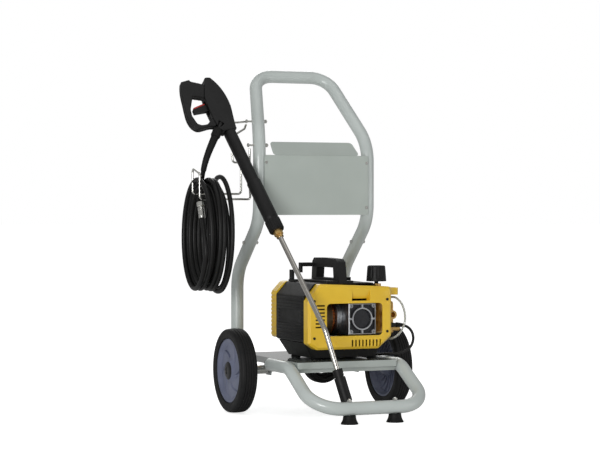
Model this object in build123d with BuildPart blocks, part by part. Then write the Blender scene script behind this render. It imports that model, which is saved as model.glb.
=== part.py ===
from build123d import *
import os
from math import cos, pi, radians, sin, tan

# Trolley pressure washer: tube trolley, electric pump unit, spray gun with lance, hose and mains lead.
# All sizes in millimetres.  X points to the right of the trolley, Y points to its back, Z up.
# Everything is laid out from the middle of the axle over the floor; keep() then moves each piece
# by SHIFT so that the middle of the whole footprint is the origin.

# ---- driving dimensions -------------------------------------------------------------------
SHIFT = (52.3, 104.5, 0.0)
TUBE_R = 19.0            # frame tube, 38 mm outside
TUBE_WALL = 2.0
SIDE_X = 178.0           # middle of each side tube
REAR_Y = 170.0           # lower uprights stand behind the axle
PANEL_Y = -10.0          # middle stretch of the uprights
TOP_Y, TOP_Z, TOP_X = 168.0, 1012.0, 120.0
LOW_BEND_Z, MID_BEND_Z, LEAN_Z = 409.0, 570.0, 803.0
HOOP_Z, HOOP_REAR_Y, HOOP_BEND_Y = 148.0, -95.0, -235.0
BAR_Y, BAR_Z = -420.0, 43.5
DECK_Z, DECK_T = 163.0, 2.5
DECK_X, DECK_FRONT, DECK_REAR = 158.7, -255.0, 185.0
DECK_LIP = 19.0

WHEEL_R, WHEEL_W, TRACK_X, AXLE_Z, AXLE_R = 125.0, 52.0, 252.6, 125.0, 8.0
HUB_R = 95.0
FOOT_X = 71.0

UNIT_LEFT, UNIT_RIGHT = -116.0, 152.0
UNIT_FRONT, FRONT_SPLIT, REAR_SPLIT, UNIT_REAR = -235.0, -199.5, 9.0, 57.0
UNIT_LOW, UNIT_TOP = 196.0, 387.0
WALL = 3.0
MOTOR_Y, MOTOR_Z = -110.0, 283.0
KNOB_X, KNOB_Y, KNOB_Z = 141.0, -150.0, 390.0

GUN = Vector(-258, 45, 845)          # gun muzzle, on the lance line
LANCE_BEND = Vector(-110, -340, 261)
LANCE_TIP = Vector(-62, -385, 56)
HOSE_R, CORD_R = 7.0, 4.0
WIRE_R = 3.2

os.makedirs("parts", exist_ok=True)


def keep(builder, name):
    """Name a finished piece, move it to the footprint's middle and write it."""
    piece = builder.part.moved(Location(SHIFT))
    piece.label = name
    export_step(piece, f"parts/{name}.step")


def tube(points, radii, outer, inner=0.0):
    """Round tube (or rod, with no inner radius) along straight runs joined by arcs."""
    with BuildPart() as made:
        with BuildLine() as path:
            if radii:
                FilletPolyline(*points, radius=radii)
            else:
                Polyline(*points)
        with BuildSketch(Plane(origin=path.line @ 0, z_dir=path.line % 0)):
            Circle(outer)
            if inner:
                Circle(inner, mode=Mode.SUBTRACT)
        sweep(path=path.line)
    return made


def cord_radii(points):
    """Arc radius at each corner: 0.45 of the shorter run over the tangent of half the turn."""
    radii = []
    for before, here, after in zip(points, points[1:], points[2:]):
        come, go = Vector(*here) - Vector(*before), Vector(*after) - Vector(*here)
        turn = come.get_angle(go)
        radii.append(0.45 * min(come.length, go.length) / tan(radians(turn / 2)))
    return radii


# ---- trolley frame ------------------------------------------------------------------------
slope = Vector(0, PANEL_Y - REAR_Y, MID_BEND_Z - LOW_BEND_Z).normalized()
JOINT_UP = 85.0          # where the handle tube meets the lower tube, along the slope
PLUG_IN = 75.0           # reduced end of the lower tube inside the handle tube
SCREW_UP = JOINT_UP + 57.0


def on_slope(side, along):
    return Vector(side * SIDE_X, REAR_Y, LOW_BEND_Z) + slope * along


with BuildPart() as lower_tubes:
    for side in (-1, 1):
        with BuildLine() as path:
            FilletPolyline((side * SIDE_X, REAR_Y, DECK_Z - DECK_LIP), (side * SIDE_X, REAR_Y, LOW_BEND_Z),
                           on_slope(side, JOINT_UP), radius=110)
        with BuildSketch(Plane(origin=path.line @ 0, z_dir=path.line % 0)):
            Circle(TUBE_R)
            Circle(TUBE_R - TUBE_WALL, mode=Mode.SUBTRACT)
        sweep(path=path.line)
        with BuildSketch(Plane(origin=on_slope(side, JOINT_UP - 12), z_dir=slope)):
            Circle(TUBE_R - TUBE_WALL - 0.15)
            Circle(TUBE_R - 2 * TUBE_WALL, mode=Mode.SUBTRACT)
        extrude(amount=12 + PLUG_IN)
        with BuildSketch(Plane(origin=on_slope(side, JOINT_UP - 12), z_dir=slope)):
            Circle(TUBE_R - TUBE_WALL + 0.5)
            Circle(TUBE_R - TUBE_WALL - 0.6, mode=Mode.SUBTRACT)
        extrude(amount=4)
        with BuildSketch(Plane(origin=on_slope(side, SCREW_UP) - Vector(30, 0, 0), z_dir=(1, 0, 0))):
            Circle(3.2)
        extrude(amount=60, mode=Mode.SUBTRACT)
keep(lower_tubes, "lower_tubes")

with BuildPart() as handle_hoop:
    with BuildLine() as path:
        FilletPolyline(on_slope(-1, JOINT_UP + 0.2), (-SIDE_X, PANEL_Y, MID_BEND_Z), (-SIDE_X, PANEL_Y, LEAN_Z),
                       (-TOP_X, TOP_Y, TOP_Z), (TOP_X, TOP_Y, TOP_Z), (SIDE_X, PANEL_Y, LEAN_Z),
                       (SIDE_X, PANEL_Y, MID_BEND_Z), on_slope(1, JOINT_UP + 0.2),
                       radius=[110, 140, 68, 68, 140, 110])
    with BuildSketch(Plane(origin=path.line @ 0, z_dir=path.line % 0)):
        Circle(TUBE_R)
        Circle(TUBE_R - TUBE_WALL, mode=Mode.SUBTRACT)
    sweep(path=path.line)
    for side in (-1, 1):
        with BuildSketch(Plane(origin=on_slope(side, SCREW_UP) - Vector(30, 0, 0), z_dir=(1, 0, 0))):
            Circle(3.2)
        extrude(amount=60, mode=Mode.SUBTRACT)
    for y, z in ((45, 868), (-7, 795)):
        with BuildSketch(Plane(origin=(-230, y, z), z_dir=(1, 0, 0))):
            Circle(3.2)
        extrude(amount=100, mode=Mode.SUBTRACT)
keep(handle_hoop, "handle_hoop")

hoop_points = [(-SIDE_X, HOOP_REAR_Y, HOOP_Z), (-SIDE_X, HOOP_BEND_Y, HOOP_Z), (-SIDE_X, BAR_Y, BAR_Z),
               (SIDE_X, BAR_Y, BAR_Z), (SIDE_X, HOOP_BEND_Y, HOOP_Z), (SIDE_X, HOOP_REAR_Y, HOOP_Z)]
with BuildPart() as front_hoop:
    with BuildLine() as path:
        FilletPolyline(*hoop_points, radius=[90, 88, 88, 90])
    with BuildSketch(Plane(origin=path.line @ 0, z_dir=path.line % 0)):
        Circle(TUBE_R)
        Circle(TUBE_R - TUBE_WALL, mode=Mode.SUBTRACT)
    sweep(path=path.line)
    with Locations((-FOOT_X, BAR_Y, BAR_Z), (FOOT_X, BAR_Y, BAR_Z)):
        Cylinder(4.2, 60, mode=Mode.SUBTRACT)
keep(front_hoop, "front_hoop")

with BuildPart() as tube_plugs:
    for side in (-1, 1):
        with BuildSketch(Plane(origin=(side * SIDE_X, HOOP_REAR_Y - 15, HOOP_Z), z_dir=(0, 1, 0))):
            Circle(TUBE_R - TUBE_WALL - 0.1)
        extrude(amount=15)
        with BuildSketch(Plane(origin=(side * SIDE_X, HOOP_REAR_Y, HOOP_Z), z_dir=(0, 1, 0))):
            Circle(TUBE_R - 1)
        extrude(amount=4)
        with BuildSketch(Plane.XY.offset(DECK_Z - DECK_LIP - 4)):
            with Locations((side * SIDE_X, REAR_Y)):
                Circle(TUBE_R)
        extrude(amount=4)
        with BuildSketch(Plane.XY.offset(DECK_Z - DECK_LIP)):
            with Locations((side * SIDE_X, REAR_Y)):
                Circle(TUBE_R - TUBE_WALL - 0.1)
        extrude(amount=15)
keep(tube_plugs, "tube_plugs")


def cross_bolt(start, length):
    """M6 hexagon bolt with its nut, from the head's outer face along +X."""
    with BuildPart() as bolt:
        with BuildSketch(Plane(origin=start, z_dir=(1, 0, 0))):
            RegularPolygon(5.5, 6)
        extrude(amount=4.5)
        with BuildSketch(Plane(origin=start, z_dir=(1, 0, 0))):
            Circle(3.0)
        extrude(amount=length)
        with BuildSketch(Plane(origin=Vector(*start) + Vector(length - 7, 0, 0), z_dir=(1, 0, 0))):
            RegularPolygon(5.8, 6)
        extrude(amount=5)
    return bolt.part


bolts = [cross_bolt(on_slope(side, SCREW_UP) - Vector(TUBE_R + 4.7, 0, 0), 2 * TUBE_R + 11.8) for side in (-1, 1)]
bolts += [cross_bolt((-199.5, 45, 868), 68), cross_bolt((-215.0, -7, 795), 66)]
with BuildPart() as cross_bolts:
    add(bolts)
keep(cross_bolts, "cross_bolts")

PANEL_HALF, PANEL_LOW, PANEL_HIGH, PANEL_T = 170.0, 587.0, 766.0, 1.5
panel_front = PANEL_Y - TUBE_R - 0.3 - PANEL_T
with BuildPart() as back_panel:
    with BuildSketch(Plane.XZ.offset(-panel_front)) as sheet:
        with Locations((0, (PANEL_LOW + PANEL_HIGH) / 2)):
            Rectangle(2 * PANEL_HALF, PANEL_HIGH - PANEL_LOW)
        fillet(sheet.vertices(), 6)
        with Locations(*[(x, z) for x in (-164.5, 164.5) for z in (PANEL_LOW + 22, PANEL_HIGH - 22)]):
            Circle(2.2, mode=Mode.SUBTRACT)
    extrude(amount=-PANEL_T)
    with BuildSketch(Plane(origin=(0, panel_front, PANEL_HIGH - 1.2), x_dir=(1, 0, 0),
                           z_dir=(0, -sin(radians(41)), cos(radians(41))))) as flange:
        with BuildLine():
            Polyline((-141, 0), (141, 0), (134, 62), (-134, 62), close=True)
        make_face()
        fillet(flange.vertices().group_by(Axis.Z)[-1], 12)
    extrude(amount=PANEL_T)
keep(back_panel, "back_panel")

with BuildPart() as panel_screws:
    for x in (-164.5, 164.5):
        for z in (PANEL_LOW + 22, PANEL_HIGH - 22):
            with BuildSketch(Plane(origin=(x, panel_front - 0.05, z), z_dir=(0, -1, 0))):
                Circle(4.2)
            extrude(amount=2.2)
            with BuildSketch(Plane(origin=(x, panel_front - 0.05, z), z_dir=(0, 1, 0))):
                Circle(2.0)
            extrude(amount=PANEL_T + 0.1)
keep(panel_screws, "panel_screws")

mount_spots = [(x, y) for x in (-62, 118) for y in (-165, -15)]
HOOK_X = 125.0
with BuildPart() as platform:
    deck_mid = ((DECK_FRONT + DECK_REAR) / 2)
    with BuildSketch(Plane.XY.offset(DECK_Z - DECK_LIP)) as outline:
        with Locations((0, deck_mid)):
            RectangleRounded(2 * DECK_X, DECK_REAR - DECK_FRONT, 4)
    extrude(amount=DECK_LIP)
    with BuildSketch(Plane.XY.offset(DECK_Z - DECK_LIP)):
        with Locations((0, deck_mid)):
            Rectangle(2 * (DECK_X - DECK_T), DECK_REAR - DECK_FRONT - 2 * DECK_T)
    extrude(amount=DECK_LIP - DECK_T, mode=Mode.SUBTRACT)
    with Locations(*[(x, y, DECK_Z) for x, y in mount_spots]):
        Hole(3.4, depth=10)
    with BuildSketch(Plane.XY.offset(132)):
        with Locations((0, -226)):
            Rectangle(2 * (DECK_X - DECK_T), 34)
            Rectangle(2 * (DECK_X - DECK_T), 30, mode=Mode.SUBTRACT)
    extrude(amount=DECK_Z - DECK_T - 132)
    with BuildSketch(Plane(origin=(HOOK_X, DECK_REAR - 1, 152), z_dir=(0, 1, 0))):
        Circle(4)
    extrude(amount=48)
    with BuildSketch(Plane.XY.offset(152)):
        with Locations((HOOK_X, DECK_REAR + 47)):
            Circle(4)
    extrude(amount=16)
keep(platform, "platform")

with BuildPart() as axle_brackets:
    for x in (-146, 142):
        with BuildSketch(Plane.YZ.offset(x)):
            with BuildLine():
                Polyline((-34, DECK_Z - DECK_T), (34, DECK_Z - DECK_T), (17, AXLE_Z - 17), (-17, AXLE_Z - 17),
                         close=True)
            make_face()
            with Locations((0, AXLE_Z)):
                Circle(AXLE_R + 0.05, mode=Mode.SUBTRACT)
        extrude(amount=4)
keep(axle_brackets, "axle_brackets")

AXLE_END = TRACK_X + WHEEL_W / 2 - 3
with BuildPart() as axle:
    with BuildSketch(Plane.YZ.offset(-AXLE_END)):
        with Locations((0, AXLE_Z)):
            Circle(AXLE_R)
    extrude(amount=2 * AXLE_END)
    chamfer(axle.edges().filter_by(GeomType.CIRCLE), 1.2)
keep(axle, "axle")

with BuildPart() as front_feet:
    for x in (-FOOT_X, FOOT_X):
        with BuildSketch(Plane(origin=(x, BAR_Y, 0), x_dir=(1, 0, 0), z_dir=(0, -1, 0))):
            with BuildLine():
                Polyline((4.3, 8), (13, 8), (13, 0), (25, 0), (24.2, 3.5))
                Spline((24.2, 3.5), (19.5, 14), (18, 24.3))
                Polyline((18, 24.3), (4.3, 24.3), (4.3, 8))
            make_face()
        revolve(axis=Axis((x, BAR_Y, 0), (0, 0, 1)))
keep(front_feet, "front_feet")

with BuildPart() as foot_bolts:
    for x in (-FOOT_X, FOOT_X):
        with BuildSketch(Plane(origin=(x, BAR_Y, 3.0))):
            Circle(7)
        extrude(amount=4.9)
        with BuildSketch(Plane(origin=(x, BAR_Y, 3.0))):
            Circle(3.9)
        extrude(amount=68)
        with BuildSketch(Plane(origin=(x, BAR_Y, BAR_Z + TUBE_R + 0.2))):
            RegularPolygon(7.5, 6)
        extrude(amount=6)
keep(foot_bolts, "foot_bolts")

# ---- wheels -------------------------------------------------------------------------------
BUSH_R = AXLE_R + 0.06


def wheel_parts(side):
    """Rim, tyre and cap of one wheel; the outer face is on the far side of the trolley."""
    mid = side * TRACK_X

    spin = Axis((0, 0, AXLE_Z), (1, 0, 0))
    profile = Plane(origin=(mid, 0, AXLE_Z), x_dir=(side, 0, 0), z_dir=(0, -side, 0))
    with BuildPart() as rim:
        with BuildSketch(profile):
            with BuildLine():
                Polyline((-24, BUSH_R), (22.5, BUSH_R), (22.5, 15), (20, 30), (12, 34), (9, 78), (17, 88), (21, 90),
                         (21, HUB_R), (-21, HUB_R), (-21, 90), (-15, 88), (-4, 80), (-1, 36), (-20, 24),
                         (-24, 18), (-24, BUSH_R))
            make_face()
        revolve(axis=spin)
        with BuildSketch(Plane.YZ.offset(mid - 30)):
            with Locations((0, AXLE_Z)):
                with PolarLocations(57, 6):
                    SlotOverall(38, 8, rotation=28)
        extrude(amount=60, mode=Mode.SUBTRACT)
    with BuildPart() as tyre:
        with BuildSketch(profile):
            with BuildLine():
                Polyline((-21, HUB_R + 0.02), (21, HUB_R + 0.02), (24, HUB_R + 4), (26, HUB_R + 12))
                ThreePointArc((26, HUB_R + 12), (23, WHEEL_R - 5), (17, WHEEL_R - 1))
                ThreePointArc((17, WHEEL_R - 1), (0, WHEEL_R), (-17, WHEEL_R - 1))
                ThreePointArc((-17, WHEEL_R - 1), (-23, WHEEL_R - 5), (-26, HUB_R + 12))
                Polyline((-26, HUB_R + 12), (-24, HUB_R + 4), (-21, HUB_R + 0.02))
            make_face()
        revolve(axis=spin)
    with BuildPart() as cap:
        with BuildSketch(profile):
            with BuildLine():
                Polyline((23, 13), (24.5, 13), (24.5, AXLE_R + 1.5), (25.5, AXLE_R + 1.5), (25.5, 13), (25, 22),
                         (22, 27), (20.9, 27.5), (23, 14), (23, 13))
            make_face()
        revolve(axis=spin)
    return rim, tyre, cap


for side, word in ((-1, "left"), (1, "right")):
    rim, tyre, cap = wheel_parts(side)
    keep(rim, f"wheel_rim_{word}")
    keep(tyre, f"tyre_{word}")
    keep(cap, f"wheel_cap_{word}")

with BuildPart() as axle_spacers:
    for side in (-1, 1):
        inner = side * (TRACK_X - 24.3)
        with BuildSketch(Plane(origin=(inner, 0, AXLE_Z), z_dir=(-side, 0, 0))):
            Circle(13)
            Circle(AXLE_R + 0.05, mode=Mode.SUBTRACT)
        extrude(amount=(TRACK_X - 24.3) - 150.5)
keep(axle_spacers, "axle_spacers")

# ---- holders on the left upright ----------------------------------------------------------
LOOP_Y = 92.0
keep(tube([(-190, 52.5, 868), (-207, LOOP_Y, 866), (-276, LOOP_Y, 866), (-276, LOOP_Y, 829), (-216, LOOP_Y, 829),
           (-197, 62, 846), (-197, 50, 858)], [8, 8, 8, 8, 4], WIRE_R), "gun_loop")
keep(tube([(-206, -3, 786), (-206, 0, 690), (-213, -25, 634), (-373, -25, 634), (-373, -25, 709), (-373, 35, 726),
           (-373, 35, 650), (-219, 35, 650), (-219, 35, 744), (-246, 35, 744), (-248, 35, 772)],
          [40, 10, 10, 10, 10, 10, 10, 9, 9], WIRE_R), "hose_cradle")

# ---- pump unit: base, covers and handle ---------------------------------------------------
BASE_LOW, BASE_HIGH = 169.0, 214.5
with BuildPart() as rubber_mounts:
    for x, y in mount_spots:
        with BuildSketch(Plane(origin=(x, y, DECK_Z + 0.1))):
            Circle(15)
        with BuildSketch(Plane(origin=(x, y, BASE_LOW - 0.1))):
            Circle(12)
        loft()
        with BuildSketch(Plane(origin=(x, y, DECK_Z - 8))):
            Circle(3.2)
        extrude(amount=8.2)
keep(rubber_mounts, "rubber_mounts")

with BuildPart() as base_tray:
    with BuildSketch(Plane.XY.offset(BASE_LOW)):
        with Locations((20, -95)):
            RectangleRounded(206, 190, 12)
    with BuildSketch(Plane.XY.offset(BASE_HIGH)):
        with Locations((12, -95)):
            RectangleRounded(246, 206, 12)
    loft()
    with BuildSketch(Plane.XY.offset(BASE_LOW + 4)):
        with Locations((20, -95)):
            RectangleRounded(196, 180, 9)
    with BuildSketch(Plane.XY.offset(BASE_HIGH)):
        with Locations((12, -95)):
            RectangleRounded(236, 196, 9)
    loft(mode=Mode.SUBTRACT)
keep(base_tray, "base_tray")


def unit_outline(inset):
    """Corner points of the covers' outline, seen from the front, moved in by inset."""
    left, right = UNIT_LEFT + inset, UNIT_RIGHT - inset
    low, top = UNIT_LOW + inset, UNIT_TOP - inset
    cut = 0.6 * inset
    return [(left, low + 18), (left, 338 - cut), (left + 38 - cut, top), (right - 4, top - 10), (right, top - 24),
            (right, 232 + cut), (right - 42 + cut, low), (left + 28, low)]


HOUSE_LOW, HOUSE_TOP, HOUSE_RIGHT = 215.0, 388.0, 108.0
with BuildPart() as motor_housing:
    with BuildSketch(Plane.XZ.offset(-REAR_SPLIT + 0.5)) as ring:
        with BuildLine():
            Polyline((UNIT_LEFT, HOUSE_LOW), (UNIT_LEFT, 350), (UNIT_LEFT + 34, HOUSE_TOP), (HOUSE_RIGHT, HOUSE_TOP),
                     (HOUSE_RIGHT, HOUSE_LOW), close=True)
        make_face()
        fillet(ring.vertices().sort_by(Axis.X)[:3], 10)
        offset(amount=-WALL, mode=Mode.SUBTRACT)
    extrude(amount=REAR_SPLIT - 0.5 - FRONT_SPLIT - 0.5)
    with BuildSketch(Plane.YZ.offset(HOUSE_RIGHT - 10)):
        with Locations((MOTOR_Y, MOTOR_Z)):
            RectangleRounded(130, 84, 8)
    extrude(amount=20, mode=Mode.SUBTRACT)
    with BuildSketch(Plane.YZ.offset(UNIT_LEFT)):
        with Locations(*[(-95, HOUSE_LOW + 14 + 9.5 * k) for k in range(13)]):
            Rectangle(188, 3.2)
        with Locations((-96, 287)):
            Rectangle(150, 40, mode=Mode.SUBTRACT)
    extrude(amount=-1.6)
keep(motor_housing, "motor_housing")

OPEN_L, OPEN_R, OPEN_LOW, OPEN_HIGH = -58.0, 121.0, 235.0, 330.0
SCOOP_L, SCOOP_R, SCOOP_LOW, SCOOP_HIGH, SCOOP_BACK = 22.0, 80.0, 337.0, 371.0, -216.0
with BuildPart() as front_cover:
    with BuildSketch(Plane.XZ.offset(-FRONT_SPLIT)) as outline:
        with BuildLine():
            Polyline(*unit_outline(0), close=True)
        make_face()
        fillet(outline.vertices(), 8)
    extrude(amount=FRONT_SPLIT - UNIT_FRONT)
    chamfer(front_cover.faces().sort_by(Axis.Y)[0].edges(), 7)
    with BuildSketch(Plane.XZ.offset(-FRONT_SPLIT)) as inner:
        with BuildLine():
            Polyline(*unit_outline(7), close=True)
        make_face()
        fillet(inner.vertices(), 6)
    extrude(amount=FRONT_SPLIT - UNIT_FRONT - WALL, mode=Mode.SUBTRACT)
    with BuildSketch(Plane.XZ.offset(-UNIT_FRONT - 10)):
        with Locations(((OPEN_L + OPEN_R) / 2, (OPEN_LOW + OPEN_HIGH) / 2)):
            RectangleRounded(OPEN_R - OPEN_L, OPEN_HIGH - OPEN_LOW, 12)
        with Locations(*[(-79, 262 + 10.4 * k) for k in range(7)]):
            Rectangle(30, 4.6)
        with Locations(*[(24 + 11.2 * k, 213) for k in range(9)]):
            Rectangle(5.2, 20)
    extrude(amount=20, mode=Mode.SUBTRACT)
    with BuildSketch(Plane.XY.offset(351)):
        with Locations((150, -155)):
            RectangleRounded(84, 90, 10)
    extrude(amount=21)
    with BuildSketch(Plane.XY.offset(351)):
        with Locations((150, -155)):
            RectangleRounded(78, 84, 7)
    extrude(amount=18, mode=Mode.SUBTRACT)
    with BuildSketch(Plane.XY.offset(340)):
        with Locations((KNOB_X, KNOB_Y)):
            Circle(18)
    extrude(amount=60, mode=Mode.SUBTRACT)
    with BuildSketch(Plane.XZ.offset(-SCOOP_BACK)):
        with Locations(((SCOOP_L + SCOOP_R) / 2, (SCOOP_LOW + SCOOP_HIGH) / 2)):
            Rectangle(SCOOP_R - SCOOP_L + 6, SCOOP_HIGH - SCOOP_LOW + 6)
    extrude(amount=SCOOP_BACK - UNIT_FRONT - 1)
    with BuildSketch(Plane.YZ.offset(SCOOP_L)):
        with BuildLine():
            Polyline((UNIT_FRONT - 1, SCOOP_HIGH), (UNIT_FRONT - 1, SCOOP_LOW), (SCOOP_BACK - 3, SCOOP_LOW), close=True)
        make_face()
    extrude(amount=SCOOP_R - SCOOP_L, mode=Mode.SUBTRACT)
    with BuildSketch(Plane.XZ.offset(-SCOOP_BACK - 5)):
        with Locations(((SCOOP_L + SCOOP_R) / 2, SCOOP_LOW + 3)):
            Rectangle(SCOOP_R - SCOOP_L - 6, 6)
    extrude(amount=18, mode=Mode.SUBTRACT)
    with BuildSketch(Plane.XZ.offset(-UNIT_FRONT - 1.4)):
        with Locations((-58, 215)):
            RectangleRounded(62, 15, 7)
    extrude(amount=5, mode=Mode.SUBTRACT)
keep(front_cover, "front_cover")

with BuildPart() as rear_cover:
    with BuildSketch(Plane.XZ.offset(-UNIT_REAR)) as outline:
        with BuildLine():
            Polyline((UNIT_LEFT, HOUSE_LOW + 3), (UNIT_LEFT, 356), (UNIT_LEFT + 30, HOUSE_TOP), (UNIT_RIGHT - 22, HOUSE_TOP),
                     (UNIT_RIGHT, 360), (UNIT_RIGHT, 235), (UNIT_RIGHT - 24, HOUSE_LOW + 3), close=True)
        make_face()
        fillet(outline.vertices(), 12)
    extrude(amount=UNIT_REAR - REAR_SPLIT)
    chamfer(rear_cover.faces().sort_by(Axis.Y)[-1].edges(), 9)
    with BuildSketch(Plane.XZ.offset(-UNIT_REAR + WALL)) as inner:
        with BuildLine():
            Polyline((UNIT_LEFT + 9, HOUSE_LOW + 12), (UNIT_LEFT + 9, 352), (UNIT_LEFT + 34, HOUSE_TOP - 9),
                     (UNIT_RIGHT - 26, HOUSE_TOP - 9), (UNIT_RIGHT - 9, 356), (UNIT_RIGHT - 9, 239),
                     (UNIT_RIGHT - 28, HOUSE_LOW + 12), close=True)
        make_face()
    extrude(amount=UNIT_REAR - REAR_SPLIT, mode=Mode.SUBTRACT)
    with BuildSketch(Plane.YZ.offset(UNIT_LEFT - 5)):
        with Locations(*[(REAR_SPLIT + 25, HOUSE_LOW + 22 + 12 * k) for k in range(11)]):
            Rectangle(52, 4.5)
    extrude(amount=7.5, mode=Mode.SUBTRACT)
keep(rear_cover, "rear_cover")

screw_spots = [(-98, 230), (-98, 338), (136, 246), (136, 340)]
with BuildPart() as cover_screws:
    for x, z in screw_spots:
        with BuildSketch(Plane.XZ.offset(-UNIT_FRONT + 0.05)):
            with Locations((x, z)):
                Circle(4.0)
        extrude(amount=1.6)
keep(cover_screws, "cover_screws")

HANDLE_X, HANDLE_FRONT, HANDLE_REAR, HANDLE_TOP = 11.0, -196.0, 6.0, 460.0
with BuildPart() as carry_handle:
    with BuildSketch(Plane.YZ.offset(HANDLE_X - 13)) as side_view:
        with BuildLine():
            Polyline((HANDLE_FRONT - 0, HOUSE_TOP + 0.3), (HANDLE_FRONT + 10, HANDLE_TOP - 12),
                     (HANDLE_FRONT + 26, HANDLE_TOP - 2), (-90, HANDLE_TOP), (HANDLE_REAR - 20, HANDLE_TOP - 1),
                     (HANDLE_REAR - 6, HANDLE_TOP - 12), (HANDLE_REAR, HOUSE_TOP + 0.3), close=True)
        make_face()
        with BuildLine():
            Polyline((HANDLE_FRONT + 40, 401), (HANDLE_FRONT + 44, 432), (HANDLE_REAR - 40, 432), (HANDLE_REAR - 36, 401),
                     close=True)
        make_face(mode=Mode.SUBTRACT)
        fillet(side_view.vertices().group_by(Axis.Z)[1:], 6)
    extrude(amount=26)
    with BuildSketch(Plane.XY.offset(HOUSE_TOP + 0.3)):
        with Locations((2, -95)):
            RectangleRounded(92, 196, 8)
    extrude(amount=6)
    with BuildSketch(Plane.YZ.offset(-46)):
        with Locations((-6, 438)):
            RectangleRounded(16, 12, 2)
    extrude(amount=46)
    with BuildSketch(Plane.XY.offset(414)):
        with Locations((-42.5, -6)):
            Rectangle(7, 16)
    extrude(amount=28)
    with BuildSketch(Plane.XY.offset(HOUSE_TOP + 0.3)):
        with Locations((-54, -20)):
            RectangleRounded(54, 40, 4)
    extrude(amount=6)
    with BuildSketch(Plane.XY.offset(HOUSE_TOP + 3)):
        with Locations((-72, -8)):
            RectangleRounded(11, 18, 3)
    extrude(amount=32)
keep(carry_handle, "carry_handle")

# ---- motor --------------------------------------------------------------------------------
motor_axis = Plane(origin=(0, MOTOR_Y, MOTOR_Z), z_dir=(1, 0, 0))
with BuildPart() as stator:
    with BuildSketch(motor_axis.offset(-70)):
        Circle(58)
        Circle(31.5, mode=Mode.SUBTRACT)
    extrude(amount=62)
    for x in (-82, -8):
        with BuildSketch(motor_axis.offset(x)):
            Circle(49)
            Circle(33, mode=Mode.SUBTRACT)
        extrude(amount=12)
keep(stator, "stator")

with BuildPart() as rotor:
    with BuildSketch(motor_axis.offset(-103)):
        Circle(7)
    extrude(amount=123)
    with BuildSketch(motor_axis.offset(-70)):
        Circle(31)
    extrude(amount=62)
keep(rotor, "rotor")

with BuildPart() as cooling_fan:
    with BuildSketch(motor_axis.offset(-102)):
        Circle(16)
        Circle(7.05, mode=Mode.SUBTRACT)
    extrude(amount=10)
    with BuildSketch(motor_axis.offset(-102)):
        with PolarLocations(30, 9):
            Rectangle(32, 3)
    extrude(amount=10)
    with BuildSketch(motor_axis.offset(-92)):
        Circle(46)
        Circle(12, mode=Mode.SUBTRACT)
    extrude(amount=2)
keep(cooling_fan, "cooling_fan")

with BuildPart() as bearings:
    for x in (-89.5, 8):
        with BuildSketch(motor_axis.offset(x)):
            Circle(16)
            Circle(7.05, mode=Mode.SUBTRACT)
        extrude(amount=7 if x < 0 else 9)
keep(bearings, "bearings")

# ---- pump ---------------------------------------------------------------------------------
CRANK_L, CRANK_R, CRANK_FRONT = 22.0, 104.5, -206.0
with BuildPart() as crankcase:
    with BuildSketch(Plane.XZ.offset(-CRANK_FRONT)):
        with Locations(((CRANK_L + CRANK_R) / 2, MOTOR_Z)):
            RectangleRounded(CRANK_R - CRANK_L, 96, 8)
    extrude(amount=-150)
    with BuildSketch(motor_axis.offset(17.3)):
        Circle(52)
    extrude(amount=CRANK_L - 17.3)
    with BuildSketch(motor_axis.offset(17)):
        Circle(7.3)
    extrude(amount=10, mode=Mode.SUBTRACT)
keep(crankcase, "crankcase")

with BuildPart() as crankcase_cover:
    cover_mid = ((CRANK_L + CRANK_R) / 2, MOTOR_Z)
    with BuildSketch(Plane.XZ.offset(-CRANK_FRONT + 0.1)):
        with Locations(cover_mid):
            RectangleRounded(88, 92, 6)
    extrude(amount=8)
    with BuildSketch(Plane.XZ.offset(-CRANK_FRONT + 8.1)):
        with Locations(cover_mid):
            Circle(35)
            Circle(31, mode=Mode.SUBTRACT)
            with GridLocations(70, 74, 2, 2):
                Circle(6)
    extrude(amount=5)
    with BuildSketch(Plane.XZ.offset(-CRANK_FRONT + 8.1)):
        with Locations(cover_mid):
            Circle(30)
    extrude(amount=3)
keep(crankcase_cover, "crankcase_cover")

HEAD_L, HEAD_R = 113.0, 182.0
plunger_spots = [(MOTOR_Y + 24 * cos(a), MOTOR_Z + 24 * sin(a)) for a in (pi / 2, pi * 7 / 6, pi * 11 / 6)]
with BuildPart() as pump_head:
    with BuildSketch(Plane.YZ.offset(HEAD_L)):
        with Locations((-130, MOTOR_Z)):
            RectangleRounded(104, 96, 10)
    extrude(amount=HEAD_R - HEAD_L)
    with BuildSketch(Plane.YZ.offset(HEAD_L)):
        with Locations(*plunger_spots):
            Circle(7.2)
    extrude(amount=30, mode=Mode.SUBTRACT)
    with BuildSketch(Plane.XY.offset(MOTOR_Z + 48)):
        with Locations((KNOB_X, KNOB_Y)):
            Circle(15)
    extrude(amount=12)
    fillet(pump_head.edges().filter_by(Axis.Y), 2)
keep(pump_head, "pump_head")

with BuildPart() as plungers:
    with BuildSketch(Plane.YZ.offset(CRANK_R + 0.2)):
        with Locations(*plunger_spots):
            Circle(7.0)
    extrude(amount=24)
keep(plungers, "plungers")

with BuildPart() as valve_caps:
    for y in (-140, -100):
        for z in (253, 283, 313):
            with BuildSketch(Plane(origin=(HEAD_R + 0.05, y, z), z_dir=(1, 0, 0))):
                RegularPolygon(12, 6)
            extrude(amount=11)
            with BuildSketch(Plane(origin=(HEAD_R + 11.05, y, z), z_dir=(1, 0, 0))):
                Circle(8)
            extrude(amount=3)
keep(valve_caps, "valve_caps")

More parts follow.
